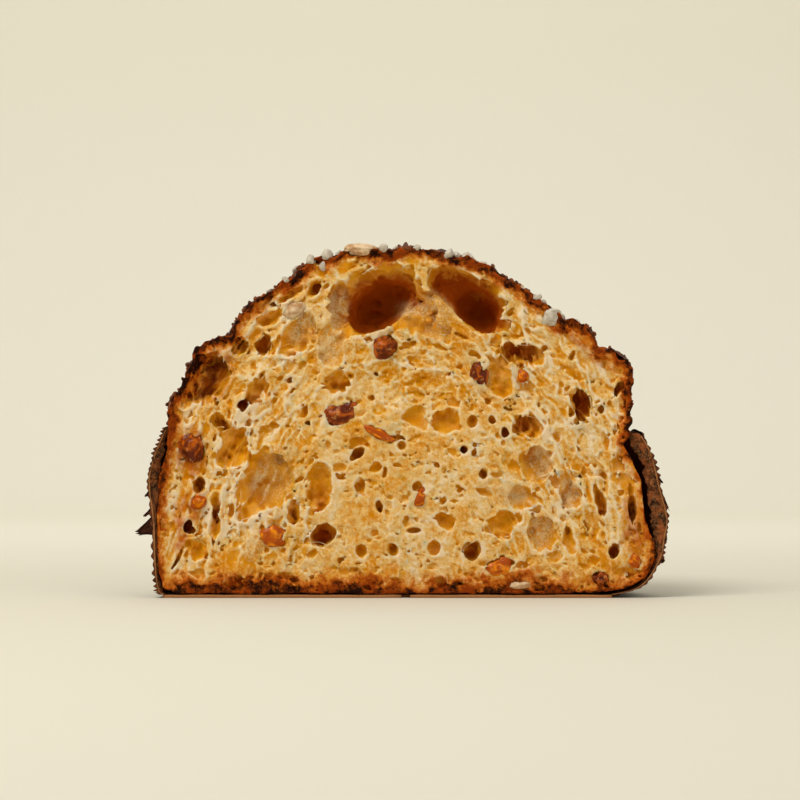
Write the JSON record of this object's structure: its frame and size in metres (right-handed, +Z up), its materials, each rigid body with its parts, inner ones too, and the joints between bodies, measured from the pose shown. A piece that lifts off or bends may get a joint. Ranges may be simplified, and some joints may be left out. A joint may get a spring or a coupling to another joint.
{
  "type": "panettone",
  "caption": "Half of a low, wide panettone, cut through the middle, with an open crumb, fruit, pearl sugar and almonds on a dark crust, standing in its ribbed paper mould.",
  "frame": {"origin": "centre of the half loaf's bounding box, on the surface it stands on", "axes": "+Z up; the cut face looks along -Y; +X runs along the cut face, to the right as seen from the front"},
  "size_m": [0.2253, 0.1112, 0.1529],
  "materials": {
    "crumb": "open baked crumb",
    "paper": "brown ribbed baking paper",
    "raisin": "moist dried fruit",
    "peel": "candied orange peel",
    "almond": "toasted almond"
  },
  "bodies": {
    "root": {"almond_back": "almond", "almond_back_left": "almond", "almond_back_right": "almond", "almond_base": "almond", "almond_cut": "almond", "almond_left": "almond", "almond_right": "almond", "almond_under_crust": "almond", "loaf": "crumb", "paper_mould": "paper", "peel_base": "peel", "peel_centre": "peel", "peel_corner": "peel", "peel_left": "peel", "peel_low_left": "peel", "peel_right": "peel", "peel_strip": "peel", "raisin_corner": "raisin", "raisin_left": "raisin", "raisin_middle": "raisin", "raisin_top": "raisin", "raisin_veiled": "raisin"}
  },
  "joints": []
}
